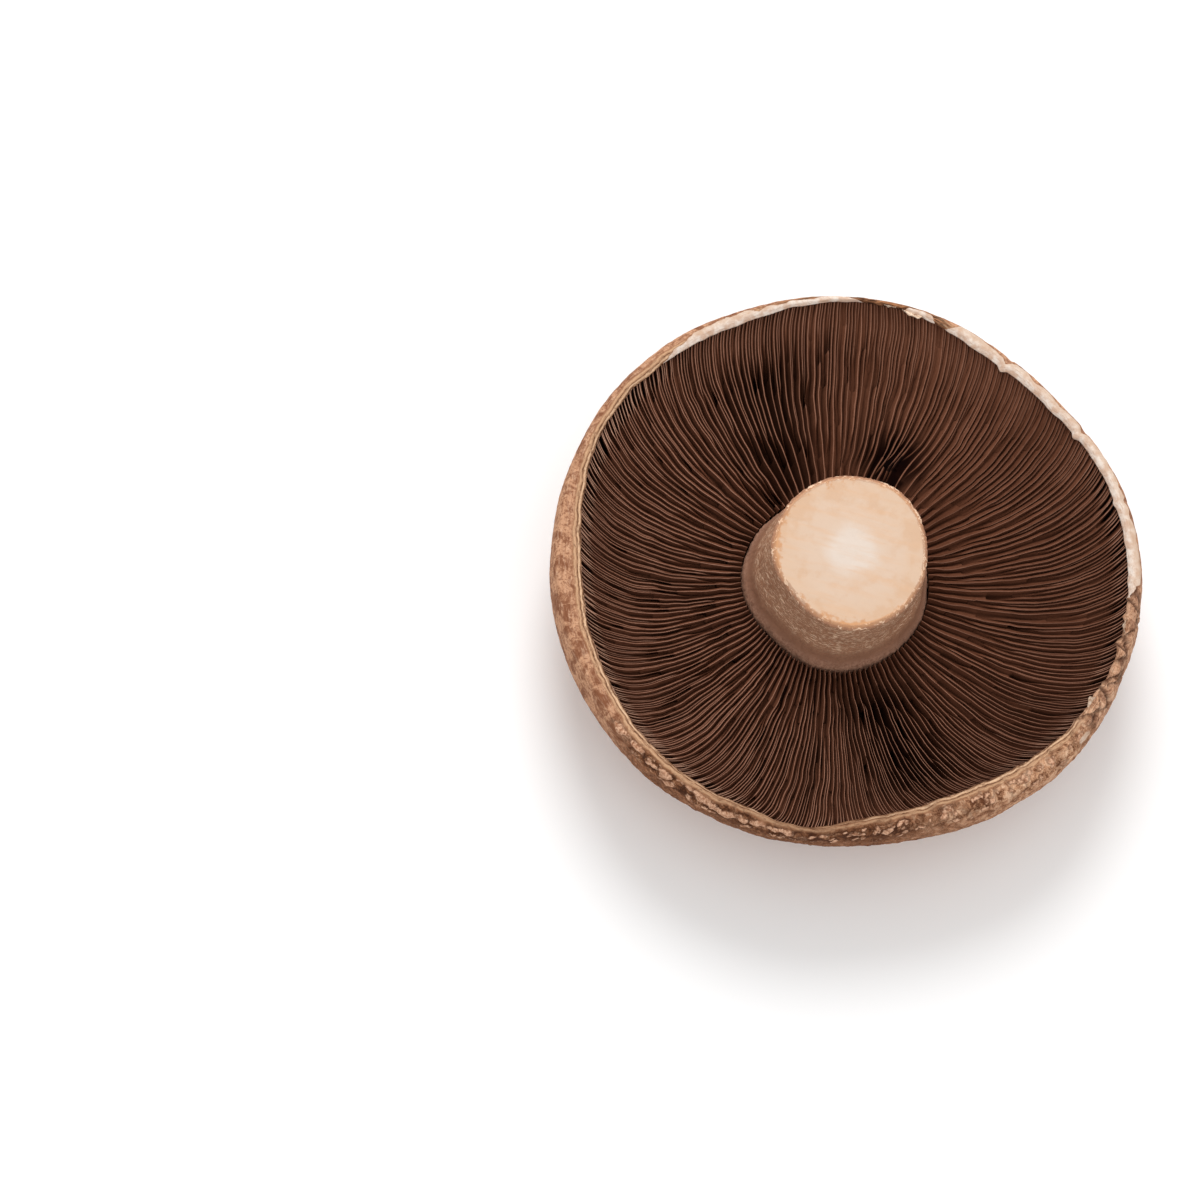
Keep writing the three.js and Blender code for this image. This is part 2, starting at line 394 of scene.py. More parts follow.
def gills():
    total = LONG_GILLS * GILLS_PER_LONG
    chance = np.random.default_rng(7)
    rank = np.arange(total) % GILLS_PER_LONG
    start = chance.uniform(EARLIEST_START[rank], LATEST_START[rank])
    even = (np.arange(total) + chance.uniform(-0.25, 0.25, total)) / total * 2 * math.pi
    even -= CROWDING * np.sin(even - math.radians(CROWDED_TOWARDS))
    tall = chance.uniform(-0.2, 0.15, total) - LOWER_BY[rank]
    thick = chance.uniform(0.85, 1.25, total)
    tone = chance.uniform(-1, 1, total)
    merging = chance.choice([-0.42, 0.42], total)
    slot = chance.choice([1.0, 0.0], total, p=[0.5, 0.5])
    corners, groups = [], [[] for _ in range(GILL_PIECES)]
    attributes = {key: [] for key in ("crest", "tone", "shine_and_depth", "dark", "streak")}
    before = None
    count = 0
    for t in np.linspace(0, 1, GILL_RINGS):
        there = np.flatnonzero(start <= t)
        number = len(there)
        angle = even[there]
        radius = STEM_FOOT + GILL_REACH * t
        spacing = gill_spacing(angle, t)
        shine_and_depth = painted_shine_and_gap_depth(angle)
        at = xyz(radius * np.cos(angle) / 5, radius * np.sin(angle) / 5, t * 3)
        wave = xyz(np.cos(angle) * 5.5, np.sin(angle) * 5.5, t * GILL_REACH / 4.6)
        own = xyz(there * 3.7, t * GILL_REACH / 2.8, 0.5)
        sway = 0.24 * noise(wave, 3) + 0.1 * noise(wave * 2.2, 4)
        sway = sway * min(1.0, t / 0.06, (1 - t) / 0.05 + 0.3) + 0.05 * noise(own, 5)
        grown = np.clip((t - start[there]) / FULL_GROWN_AFTER, 0, 1)
        grown = np.where(start[there] == 0, 1, grown * grown * (3 - 2 * grown))
        sway = sway + merging[there] * spacing * (1 - grown)

        # Places where the gills stand apart, part at the lip, or are bruised
        spot = bruise(angle, radius)
        halo = bell(angle, 80, 15) * math.exp(-((radius - 27) / 7) ** 2)
        gaps = open_gaps(angle, t)
        parting = open_rim(angle, t)
        rim = parting * slot[there]
        slit = noise(xyz(there * 7.3, t * GILL_REACH / 9, 9.5), 12)
        slit = np.clip(2.2 * slit - 0.6, 0, 1) * (1 - 0.85 * bell(angle, 50, 45))
        sway = sway + 0.32 * spacing * (np.roll(rim, 1) - rim)

        side = angle + (sway + gill_drift(angle, t) + 1.4 * spot) / radius
        in_order = np.arange(number) * 1e-5
        side = np.maximum.accumulate(side - in_order) + in_order
        following = np.roll(side, -1)
        following[-1] += 2 * math.pi
        gap = (following - side) * radius
        young = 1 - np.minimum(grown, np.roll(grown, -1))
        roomy = np.maximum(np.clip(gap / spacing - 1.1, 0, 0.8), 0.8 * young) * (1 - gaps) * (1 - rim)
        roomy = roomy * (1 - 0.7 * slit)
        lean = gill_lean(angle, t, at) * spacing * grown
        lean *= 1 - 0.6 * np.maximum(gaps, rim)
        lean += 0.7 * spot
        rough = 0.08 * noise(xyz(there * 5.1, t * GILL_REACH / 1.5, 3.5), 8)
        edge = min(1.0, (1 - t) / 0.05)
        own_height = tall[there] * np.clip(t / 0.1, 0, 1) * (1 - 0.55 * np.clip((t - 0.72) / 0.2, 0, 1))
        high = crest_height(t) + (own_height + rough) * edge - 1.8 * spot
        flat = bell(angle, 88, 48) * np.clip((t - 0.74) / 0.14, 0, 1)
        depth = (2.4 - 1.5 * flat) * (0.65 + 0.35 * shine_and_depth) + 3.6 * gaps + 1.4 * rim - 0.7 * parting
        depth = depth + 1.0 * slit
        low = np.maximum(crest_height(t) - depth, floor_height(t)) + 0.8 * roomy
        high = low + (high - low) * grown

        wide = 0.1 + 0.09 * bell(angle, 90, 50) + 0.05 * flat - 0.02 * gaps
        wide = np.minimum(wide * thick[there], 0.3 * gap)
        ahead, behind = np.maximum(0, lean), np.maximum(0, -lean)
        left = -wide - 0.85 * ahead + 0.3 * behind
        right = wide + 0.85 * behind - 0.3 * ahead
        deep = np.clip((high - low) / 1.2, 0, 1)
        left_drop = (0.2 + 0.42 * ahead + 0.3 * behind) * deep
        right_drop = (0.2 + 0.42 * behind + 0.3 * ahead) * deep
        ring = np.stack([gill_point(t, side + (lean + left) / radius, high - left_drop),
                         gill_point(t, side + lean / radius, high),
                         gill_point(t, side + (lean + right) / radius, high - right_drop),
                         gill_point(t, (side + following) / 2, low)], axis=1)
        corners.append(ring.reshape(-1, 3))

        # The crest value runs from 1 on the free edge down to the valley, where the gills are painted
        # near black as painted shade, less so where a valley is wide.
        shoulder = 0.35 + 0.15 * grown + 0.28 * parting
        crest = np.stack([shoulder, 0.35 + 0.65 * grown, shoulder, 0.1 + 0.25 * roomy], axis=1)
        # Dark marks on the gills: the bruise blots are the gills' own stain and the gaps darken around
        # the bruise; the darkening in open gaps, in slits and in the valleys where the ends part by the
        # lip is painted shade.
        blots = spot * (0.8 + 0.8 * noise(at * 3.1, 9))
        bruise_and_gap_shade = np.maximum.reduce([blots, 0.4 * gaps, 0.3 * slit, 0.6 * halo])
        dark = np.stack([np.maximum(bruise_and_gap_shade, 0.3 * rim), bruise_and_gap_shade, np.maximum(bruise_and_gap_shade, 0.3 * rim),
                         np.maximum(bruise_and_gap_shade, rim)], axis=1)
        attributes["crest"].append(crest.ravel())
        attributes["tone"].append(np.repeat(tone[there], 4))
        # Painted highlight: the free edges are lit brighter still where the gills part by the lip.
        attributes["shine_and_depth"].append(np.repeat(shine_and_depth + 0.8 * parting, 4))
        attributes["dark"].append(np.clip(dark, 0, 1).ravel())
        across = np.tile([-0.5, 0, 0.5, 1.2], number)
        attributes["streak"].append(xyz(across * 2.2, t * GILL_REACH / 3, np.repeat(even[there] * 40, 4)))
        first = dict(zip(there.tolist(), range(count, count + 4 * number, 4)))
        if before is not None:
            for owner, face in gill_faces(before, first):
                groups[owner * GILL_PIECES // total].append(face)
        before = first
        count += 4 * number
    attributes = {key: np.concatenate(values) for key, values in attributes.items()}
    return np.concatenate(corners), groups, attributes


def part_of(corners, faces, attributes):
    """Some of a mesh's faces, with only the corners that they use."""
    used = sorted({corner for face in faces for corner in face})
    place = dict(zip(used, range(len(used))))
    faces = [tuple(place[corner] for corner in face) for face in faces]
    return corners[used], faces, {key: values[used] for key, values in attributes.items()}


def gill_faces(inner, outer):
    """Pairs of a gill and a face between two rings, given each gill's first corner in both. New
    gills fan out of the valley before them."""
    numbers = list(outer)
    order = {number: k for k, number in enumerate(numbers)}
    known = list(inner)
    for i, number in enumerate(known):
        after = known[(i + 1) % len(known)]
        a, b = inner[number], outer[number]
        for k in range(3):
            yield number, (a + k, b + k, b + k + 1, a + k + 1)
        last = b + 3
        k = (order[number] + 1) % len(numbers)
        while numbers[k] != after:
            born = outer[numbers[k]]
            yield number, (a + 3, last, born)
            for j in range(3):
                yield number, (a + 3, born + j, born + j + 1)
            last = born + 3
            k = (k + 1) % len(numbers)
        yield number, (a + 3, last, outer[after], inner[after])


def gill_material():
    g = Graph("gill")
    at = g.place()
    crest, tone = g.attribute("crest"), g.attribute("tone")
    shine_and_depth, dark = g.attribute("shine_and_depth"), g.attribute("dark")
    patches = g.noise(at, 11.0, 3.0)
    fine = g.noise(at, 0.4, 3.0, 0.65)
    streaks = g.noise(g.attribute("streak", "Vector"), 0.5, 3.0, 0.6)
    face = g.mix(patches, (0.12, 0.043, 0.022), (0.185, 0.076, 0.044))
    face = g.tint(face, (0.07, 0.024, 0.012), streaks, 0.35, 0.7, 0.6)
    # Free edges: a little paler than the faces in their own colour, in lit and shaded copies as painted
    # highlight and painted shade, palest where the gills part by the lip.
    shaded_edge_colour = g.mix(patches, (0.19, 0.082, 0.05), (0.26, 0.122, 0.08))
    lit_edge_colour = g.mix(g.noise(at, 2.5), (0.37, 0.18, 0.115), (0.62, 0.35, 0.25))
    edge = g.mix(g.span(shine_and_depth, 1.0, 1.7), g.mix(shine_and_depth, shaded_edge_colour, lit_edge_colour), (0.72, 0.43, 0.3))
    # Painted shade: the valleys between the gills are near black, darker still where the free edges get
    # their painted highlight, and the faces keep the gills' own brown.
    gap = g.mix(shine_and_depth, (0.055, 0.019, 0.01), (0.02, 0.006, 0.003))
    deep = g.mix(g.span(crest, 0.13, 0.48), gap, face)
    colour = g.mix(g.span(crest, 0.78, 1.0), deep, edge)
    specks = g.times(g.span(fine, 0.5, 0.75), 0.3)
    colour = g.mix(specks, colour, (0.06, 0.022, 0.012))
    shade = g.times(g.span(tone, -1.0, 1.0), 0.35)
    colour = g.mix(shade, colour, (0.06, 0.022, 0.012))
    # The bruise and the painted shade darken the sides and valleys, near black where strongest, and leave
    # the free edges.
    dimmed_by_bruise_and_shade = g.times(g.span(dark, 0.0, 0.5), g.span(crest, 0.85, 0.45))
    colour = g.mix(dimmed_by_bruise_and_shade, colour, (0.006, 0.002, 0.0015))
    blackened_by_bruise_and_shade = g.times(g.span(dark, 0.45, 0.8), g.span(crest, 1.05, 0.8))
    colour = g.mix(g.times(blackened_by_bruise_and_shade, 0.9), colour, (0.004, 0.002, 0.002))
    bump = g.bump(fine, 0.1, 0.5)
    bump = g.bump(streaks, 0.1, 0.4, bump)
    return g.finish(colour, bump, 0.9, Specular_IOR_Level=0.0)


# The cap: up the skin from the crown, over the margin, in to the lip and down the flesh. The
# distance from the lip, outwards and down the skin, is called rim.
CAP_SECTORS = 880


def cap():
    angle = np.linspace(0, 2 * math.pi, CAP_SECTORS, endpoint=False)
    rings, skin = [], []

    def add(points, is_skin=1.0):
        rings.append(points)
        skin.append(np.full(CAP_SECTORS, is_skin))

    for share in np.append(np.linspace(0, 0.76, 26), np.linspace(0.76, 1, 31)[1:]):
        a = share * math.pi / 2
        radius = CROWN_SPOT + (CAP_RADIUS - CROWN_SPOT) * math.sin(a)
        add(skin_point(radius, angle, CAP_WIDEST * (1 - math.cos(a))))
    for share in np.linspace(0, 1, 21)[1:]:
        a = share * math.pi / 2
        radius = MARGIN_RADIUS + (CAP_RADIUS - MARGIN_RADIUS) * math.cos(a)
        radius = radius + bulged(MARGIN_BULGES, angle) * math.sin(a)
        height = CAP_WIDEST + (MARGIN_TOP - CAP_WIDEST) * math.sin(a)
        add(skin_point(radius, angle, height))

    outer = rings[-1]
    rough = fractal(xyz(np.cos(angle) * 16, np.sin(angle) * 16, 0.5), 3, 11)
    thin = window(angle, 84, 120, 10)
    reach = 1 - np.clip(0.35 + 0.22 * rough - 0.25 * thin, 0.05, 2) / GILL_REACH
    edge = gill_point(reach, angle, crest_height(1) + 0.1)
    swell = 0.45 - 0.25 * thin
    for share in (0.2, 0.4, 0.6, 0.8, 0.93, 1.0):
        curve = xyz(0, 0, swell * math.sin(math.pi * share))
        add(outer + (edge - outer) * share + curve)
    add(gill_point(reach + 0.004, angle, crest_height(1) - 0.35))
    clear = 1 + GAP / GILL_REACH
    add(gill_point(clear, angle, LIP_TOP - 0.6), 0.0)
    for t in (1.0, 0.97, 0.9, 0.75, 0.5, 0.25, 0.0):
        height = floor_height(t) - BED_THICKNESS - GAP
        add(gill_point(t + GAP / GILL_REACH, angle, height), 0.0)

    grid, skin = np.array(rings), np.array(skin)
    turn = np.broadcast_to(angle, skin.shape)
    steps = np.linalg.norm(np.diff(grid, axis=0), axis=-1)
    along = np.vstack([np.zeros(CAP_SECTORS), np.cumsum(steps, axis=0)])
    lip = len(rings) - 9
    rim = along[lip] - along
    masks = cap_masks(rim, turn)
    grid = rough_skin(grid, rim, turn, skin, masks)
    grid[..., 2] = np.maximum(grid[..., 2], 0)
    corners = grid.reshape(-1, 3)
    faces = ring_faces(len(rings), CAP_SECTORS)
    crown = len(corners)
    floor = crown + 1
    last = (len(rings) - 1) * CAP_SECTORS
    middle = [STEM_OFFSET[0], STEM_OFFSET[1], FLOOR_FOOT - BED_THICKNESS - GAP]
    corners = np.vstack([corners, [[0, 0, 0], middle]])
    for i in range(CAP_SECTORS):
        j = (i + 1) % CAP_SECTORS
        faces += [(j, i, crown), (last + i, last + j, floor)]
    flat = np.append(rim.ravel(), [rim[0].mean() + CROWN_SPOT, -60])
    turned = np.append(turn.ravel(), [0, 0])
    attributes = {key: np.append(values.ravel(), [0, 0]) for key, values in masks.items()}
    attributes["rim"] = flat
    attributes["fibre"] = xyz(CAP_RADIUS * np.cos(turned), CAP_RADIUS * np.sin(turned), flat * 0.14)
    attributes["band"] = xyz(CAP_RADIUS * np.cos(turned) * 0.3, CAP_RADIUS * np.sin(turned) * 0.3,
                             flat * 2.5)
    return corners, faces, attributes


def spots(turn, rim, cell, share, seed):
    """Rounded blots on the skin, one in some of the cells of a skewed grid: 1 in their middles."""
    place = xyz(np.cos(turn) * CAP_RADIUS, np.sin(turn) * CAP_RADIUS, rim) / cell
    count = round(2 * math.pi * CAP_RADIUS / cell)
    u = turn * count / (2 * math.pi) + 0.35 * fractal(place * 1.6, 2, seed + 5)
    v = rim / cell * 1.25 + 0.35 * fractal(place * 1.6, 2, seed + 6)
    column, row = np.floor(u), np.floor(v)
    best = np.zeros(turn.shape)
    for dx in (-1, 0, 1):
        for dy in (-1, 0, 1):
            cells = xyz((column + dx) % count, row + dy, 0)
            x = column + dx + 0.5 + 0.7 * (hashed(cells, seed) - 0.5)
            y = row + dy + 0.5 + 0.7 * (hashed(cells, seed + 1) - 0.5)
            size = 0.35 + 0.35 * hashed(cells, seed + 2)
            there = hashed(cells, seed + 3) < share
            off = np.hypot((u - x) * 0.85, v - y) / size
            best = np.maximum(best, np.where(there, np.clip(1.15 - off, 0, 1), 0))
    return best


# Folds in the skin on the right: where each lies 3 mm out from the lip, and the degrees that it
# turns for each mm outwards
FOLDS = [(5.0, -0.9), (0.5, 1.3), (355.5, -0.6), (350.5, 1.1), (346.0, -0.4), (341.8, 1.5)]


def cap_masks(rim, turn):
    """Where the flesh shows pale, where the skin has warts, scales, folds and cracks, and where painted
    shade darkens the near side.
    """
    place = xyz(np.cos(turn) * CAP_RADIUS, np.sin(turn) * CAP_RADIUS, rim)
    ragged = 0.45 * fractal(place / 2.6, 3, 31)
    slow = noise(place * (0.16, 0.16, 0), 33)
    right = (3.0 + 0.9 * slow) * window(turn, 8, 81.5, 5)
    fragment = 1.9 * window(turn, 84.8, 91.8, 1.6)
    left = 3.1 * window(turn, 121, 148, 9) * np.clip((152 - np.degrees(turn)) / 18, 0, 1)
    left = np.maximum(left, 2.2 * window(turn, 102, 130, 6))
    patch = 0.62 * bell(turn, 336.5, 2.4) * np.clip((1.7 - np.abs(rim - 4.8) + ragged) / 0.6, 0, 1)
    reach = np.maximum.reduce([right, left, fragment])
    pale = np.maximum(np.clip((reach - rim + ragged * np.minimum(1, reach)) / 0.5, 0, 1), patch)
    warts = window(turn, 230, 276, 6) * spots(turn, rim, 3.0, 0.75, 61)
    warts *= np.clip((6.4 - rim) / 1.2, 0, 1) * np.clip((rim - 2.0) / 0.5, 0, 1)
    flakes = window(turn, 262, 345, 6) * spots(turn, rim, 1.6, 0.42, 71)
    flakes *= np.clip((9 - rim) / 3, 0, 1) * np.clip((rim - 2.2) / 0.5, 0, 1)
    scaly = 0.3 + 0.7 * window(turn, 236, 368, 14)
    lines = np.abs(noise(place / 4.5 + 0.35 * xyz(ragged, ragged, ragged), 81))
    folded = np.maximum(window(turn, 338, 14, 6), 0.4 * window(turn, 290, 338, 6))
    cracks = np.clip(1 - lines / 0.13, 0, 1) * folded
    cracks *= np.clip((rim - 0.8) / 0.8, 0, 1) * np.clip((12 - rim) / 4, 0, 1)
    for direction, bend in FOLDS:
        off = (np.degrees(turn) - direction - bend * (rim - 3) + 180) % 360 - 180
        fold = np.clip(1.2 - np.abs(np.radians(off) * CAP_RADIUS + 0.6 * ragged) / 0.45, 0, 1)
        fold = fold * np.clip((rim - 0.4) / 0.4, 0, 1) * np.clip((8 - rim) / 3, 0, 1)
        cracks = np.maximum(cracks, fold)
    return {"pale": pale, "wart": np.maximum(warts, 0.8 * flakes), "scaly": scaly, "crack": cracks,
            "near_side_shade": bell(turn, 280, 26), "rosy": window(turn, 306, 374, 30),
            "thin": window(turn, 82, 119, 6), "folded": window(turn, 338, 11, 8)}


def rough_skin(grid, rim, turn, skin, masks):
    """Ridges along the lip, warts, dents and fine wrinkles, moved out from the middle."""
    out = grid - np.array([0, 0, CAP_WIDEST - 6])
    out /= np.linalg.norm(out, axis=-1, keepdims=True)
    margin = skin * np.clip((22 - rim) / 10, 0, 1)
    scaly = 0.2 + 0.8 * masks["scaly"]
    lumps = fractal(grid / 2.6, 3, 21)
    fine = fractal(grid / 0.9, 2, 25)
    moved = margin * scaly * (0.17 * lumps + 0.1 * fine) * np.clip(rim / 2, 0.3, 1)
    lumpy = 0.35 + 0.4 * window(turn, 226, 280, 8)
    moved += lumpy * masks["wart"] * margin - 0.6 * masks["crack"] * margin
    moved += skin * 0.15 * noise(grid / 9, 28) - 0.25 * margin
    wander = 0.22 * noise(xyz(np.cos(turn) * 14, np.sin(turn) * 14, 0.5), 35)
    ridges = window(turn, 142, 338, 8) * skin * (0.7 + 0.7 * noise(grid / 5, 36))
    for place, width, height in ((0.6, 0.14, -0.13), (1.0, 0.25, 0.09), (1.4, 0.14, -0.11)):
        moved += ridges * height * np.exp(-((rim - place - wander) / width) ** 2)
    for direction, width, depth in ((67, 0.9, 0.7), (45, 0.8, 0.6), (28, 0.7, 0.4), (345, 1.0, 0.4),
                                    (357, 0.8, 0.6), (3, 0.7, 0.6)):
        moved -= skin * depth * bell(turn, direction, width) * np.clip((6 - rim) / 3, 0, 1)
    return grid + out * moved[..., None]


def crown_colour(g, at, rim):
    """Golden over the crown, and red-brown with fibres that run down from it."""
    fibre = g.attribute("fibre", "Vector")
    streaks = g.noise(fibre, 0.7, 5.0, 0.7)
    tufts = g.noise(fibre, 2.4, 4.0, 0.65, 0.6)
    down = g.math("ADD", rim, g.times(g.noise(at, 14.0), -14))
    golden = g.mix(g.span(streaks, 0.35, 0.65), (0.6, 0.31, 0.15), (0.76, 0.45, 0.25))
    russet = g.mix(g.span(streaks, 0.35, 0.65), (0.26, 0.088, 0.034), (0.47, 0.2, 0.09))
    russet = g.tint(russet, (0.62, 0.36, 0.2), tufts, 0.52, 0.62, 0.6)
    colour = g.mix(g.span(down, 42, 16), golden, russet)
    colour = g.tint(colour, (0.12, 0.042, 0.018), tufts, 0.42, 0.34, 0.6)
    return colour, streaks


def margin_colour(g, at, rim, fine, strands):
    """Tan skin with brown blotches, which breaks up in flakes towards the near side."""
    scaly, wart = g.attribute("scaly"), g.attribute("wart")
    near_side_shade, rosy = g.attribute("near_side_shade"), g.attribute("rosy")
    blotches = g.noise(at, 3.2, 5.0, 0.7, 0.8)
    tan = g.mix(g.span(blotches, 0.4, 0.57), (0.24, 0.095, 0.048), (0.56, 0.3, 0.175))
    tan = g.tint(tan, (0.76, 0.5, 0.34), strands, 0.5, 0.66, 0.4)
    tan = g.tint(tan, (0.13, 0.045, 0.02), strands, 0.46, 0.34, 0.4)
    tan = g.tint(tan, (0.21, 0.08, 0.04), fine, 0.52, 0.36, 0.7)

    torn = g.warped(at, 1.3, 2.6)
    edge = g.cells(torn, 1.9, "DISTANCE_TO_EDGE")
    smudge = g.noise(torn, 2.2, 6.0, 0.75)
    flakes = g.mix(g.span(smudge, 0.42, 0.56), (0.075, 0.025, 0.011), (0.28, 0.113, 0.052))
    flakes = g.tint(flakes, (0.64, 0.355, 0.205), smudge, 0.54, 0.64, 0.8)
    flakes = g.tint(flakes, (0.05, 0.018, 0.009), strands, 0.48, 0.36, 0.6)
    flakes = g.tint(flakes, (0.03, 0.011, 0.006), edge, 0.1, 0.02, 0.5)
    # Painted shade: the flakes darken on the near side.
    flakes = g.mix(g.times(near_side_shade, 0.45), flakes, (0.07, 0.026, 0.013))
    blush = g.mix(g.span(smudge, 0.4, 0.52), (0.16, 0.06, 0.028), (0.6, 0.32, 0.18))
    blush = g.tint(blush, (0.88, 0.61, 0.42), smudge, 0.5, 0.6, 0.7)
    blush = g.tint(blush, (0.22, 0.088, 0.044), fine, 0.46, 0.34, 0.6)
    flakes = g.mix(g.times(rosy, 0.85), flakes, blush)
    colour = g.mix(g.span(scaly, 0.3, 1.0), tan, flakes)
    low_cracks = g.times(g.span(edge, 0.1, 0.02), g.span(rim, 7, 12))
    low_cracks = g.times(low_cracks, g.span(blotches, 0.55, 0.45))
    colour = g.mix(g.times(low_cracks, 0.7), colour, (0.06, 0.022, 0.011))
    dusty = g.mix(g.span(fine, 0.35, 0.65), (0.18, 0.065, 0.03), (0.5, 0.245, 0.135))
    outside = g.times(g.span(rim, 5.2, 7.5), g.span(rim, 15, 9))
    outside = g.times(g.span(scaly, 0.4, 1.0), outside)
    colour = g.mix(g.times(outside, 0.35), colour, dusty)

    blot = g.math("ADD", wart, g.times(g.math("SUBTRACT", fine, 0.5), 0.6))
    colour = g.tint(colour, (0.07, 0.026, 0.013), blot, 0.1, 0.3, 0.5)
    lump = g.mix(g.span(fine, 0.35, 0.65), (0.36, 0.16, 0.085), (0.78, 0.475, 0.315))
    colour = g.tint(colour, lump, blot, 0.3, 0.6, 0.9)
    return colour, edge


def lip_colour(g, at, rim, fine, strands, skin):
    """From the gills outwards: a pale edge and golden ridges with dark lines between them, which give way
    to folded skin on the right. The golden colour is the ridges' own, with painted highlight on the pale
    edge and the ridge tops, and the near black lines in the grooves are painted shade."""
    unsteady = g.math("ADD", g.noise(at, 3.0), g.times(strands, 0.8))
    wander = g.math("ADD", rim, g.times(g.math("SUBTRACT", unsteady, 0.9), 0.9))
    # Painted light: dark beside the gills and near black in the grooves as painted shade, pale on the
    # edge and the ridge tops as painted highlight over their golden colour.
    lines = g.ramp(g.math("DIVIDE", wander, 3.0),
                   [(0.0, (0.12, 0.055, 0.034)), (0.04, (0.5, 0.31, 0.22)), (0.11, (0.58, 0.36, 0.25)),
                    (0.16, (0.2, 0.09, 0.05)), (0.2, (0.05, 0.02, 0.01)), (0.25, (0.32, 0.16, 0.085)),
                    (0.33, (0.8, 0.55, 0.36)), (0.41, (0.56, 0.32, 0.18)), (0.46, (0.07, 0.028, 0.014)),
                    (0.52, (0.4, 0.21, 0.115)), (0.62, (0.62, 0.38, 0.225)), (0.73, (0.32, 0.15, 0.077))])
    worn = g.mix(g.span(strands, 0.35, 0.65), (0.14, 0.056, 0.028), (0.66, 0.4, 0.24))
    lines = g.mix(g.times(g.span(g.noise(at, 1.2, 4.0, 0.7), 0.46, 0.62), 0.7), lines, worn)
    # Painted shade: the lines darken on the near side.
    lines = g.mix(g.times(g.attribute("near_side_shade"), 0.45), lines, (0.17, 0.072, 0.035))
    folded = g.attribute("folded")
    shown = g.math("SUBTRACT", 1.0, g.times(folded, 0.85))
    skin = g.mix(g.times(g.span(fine, 0.35, 0.6), g.times(folded, 0.5)), skin,
                 (0.6, 0.34, 0.225))
    skin = g.mix(g.times(g.span(strands, 0.5, 0.38), g.times(folded, 0.6)), skin,
                 (0.11, 0.04, 0.02))
    colour = g.mix(g.times(g.span(wander, 2.6, 2.0), shown), skin, lines)
    narrow = g.mix(g.span(strands, 0.4, 0.6), (0.05, 0.02, 0.011), (0.42, 0.19, 0.09))
    # Painted shadow: near black along the lip, where the thin margin meets the gills.
    narrow = g.mix(g.span(rim, 0.7, 0.35), narrow, (0.03, 0.012, 0.008))
    return g.mix(g.times(g.attribute("thin"), g.span(rim, 3.0, 1.6)), colour, narrow)


def flesh_colour(g, at, rim, fine, strands, around):
    """The pale flesh where the skin stops short of the lip."""
    flesh = g.mix(g.span(g.noise(at, 1.6, 4.0), 0.35, 0.65), (0.8, 0.69, 0.6), (0.62, 0.43, 0.32))
    flesh = g.tint(flesh, (0.45, 0.26, 0.16), strands, 0.52, 0.66, 0.5)
    outside = g.math("ADD", rim, g.times(fine, 2.0))
    flesh = g.tint(flesh, (0.58, 0.4, 0.28), outside, 2.4, 3.6, 0.6)
    # Painted shadow: the flesh turns dark along the lip, where it meets the gills.
    flesh = g.mix(g.span(rim, 0.5, 0.15), flesh, (0.1, 0.045, 0.03))
    edge = g.math("ADD", g.attribute("pale"), g.times(g.math("SUBTRACT", fine, 0.5), 0.6))
    around = g.tint(around, (0.3, 0.14, 0.07), edge, 0.12, 0.3, 0.6)
    return g.mix(g.span(edge, 0.35, 0.6), around, flesh)


def cap_material():
    g = Graph("skin")
    at = g.place()
    rim = g.attribute("rim")
    fine = g.noise(at, 0.5, 4.0, 0.7)
    lumps = g.noise(at, 2.0, 4.0, 0.62, 0.5)
    strands = g.noise(g.attribute("band", "Vector"), 0.9, 4.0, 0.7, 0.3)
    crown, streaks = crown_colour(g, at, rim)
    margin, flake_edge = margin_colour(g, at, rim, fine, strands)
    colour = g.mix(g.span(g.math("ADD", rim, g.times(lumps, 6)), 23, 12), crown, margin)
    colour = lip_colour(g, at, rim, fine, strands, colour)
    colour = g.mix(g.times(g.attribute("crack"), 0.9), colour, (0.05, 0.018, 0.01))
    colour = flesh_colour(g, at, rim, fine, strands, colour)
    height = g.math("ADD", g.times(lumps, 0.5), g.times(fine, 0.5))
    bump = g.bump(height, 0.4, 0.7)
    flaky = g.times(g.span(flake_edge, 0.0, 0.15), g.attribute("scaly"))
    bump = g.bump(flaky, 0.12, 0.6, bump)
    bump = g.bump(strands, 0.15, 0.4, bump)
    bump = g.bump(streaks, 0.12, 0.35, bump)
    return g.finish(colour, bump, 0.75, Specular_IOR_Level=0.04)


# Shreds of torn veil and skin that stand up from the lip: the direction where each starts, its
# length along the lip, how far it reaches, how far it curls (in radians) and the seed of its edge
SHREDS = [(87.6, 4.4, 2.6, 1.2, 91), (93.5, 2.6, 1.6, 1.8, 92), (359.4, 2.8, 2.4, 2.2, 93),
          (341.4, 2.8, 2.4, 1.6, 94)]


